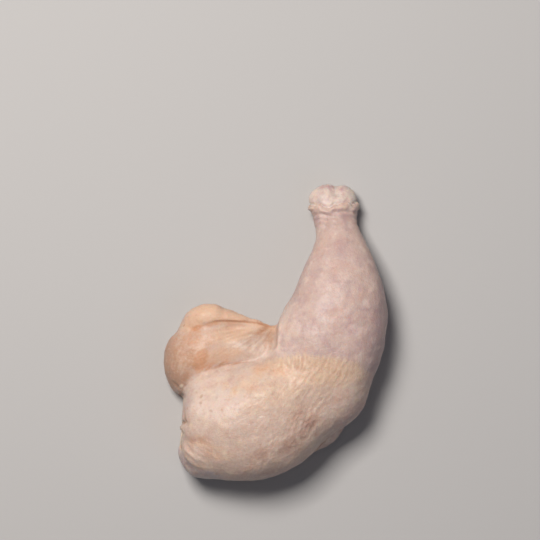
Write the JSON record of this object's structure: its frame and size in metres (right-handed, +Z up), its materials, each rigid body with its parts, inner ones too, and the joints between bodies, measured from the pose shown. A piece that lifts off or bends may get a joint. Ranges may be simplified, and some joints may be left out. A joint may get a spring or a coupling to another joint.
{
  "type": "raw chicken leg",
  "caption": "Raw whole chicken leg with its skin on, thigh and drumstick in one piece, bent at the knee, with a lobe of fat and skin beside the thigh.",
  "frame": {"origin": "middle of the leg's box, on the surface that it lies on", "axes": "+Z up from that surface, +Y along the drumstick towards the hock, +X towards the drumstick's side, away from the flap"},
  "size_m": [0.1162, 0.1542, 0.0446],
  "materials": {
    "chicken_skin": "raw poultry skin, moist and softly glossy, pale pink with cream-yellow fat"
  },
  "bodies": {
    "root": {"chicken_leg": "chicken_skin"}
  },
  "joints": []
}
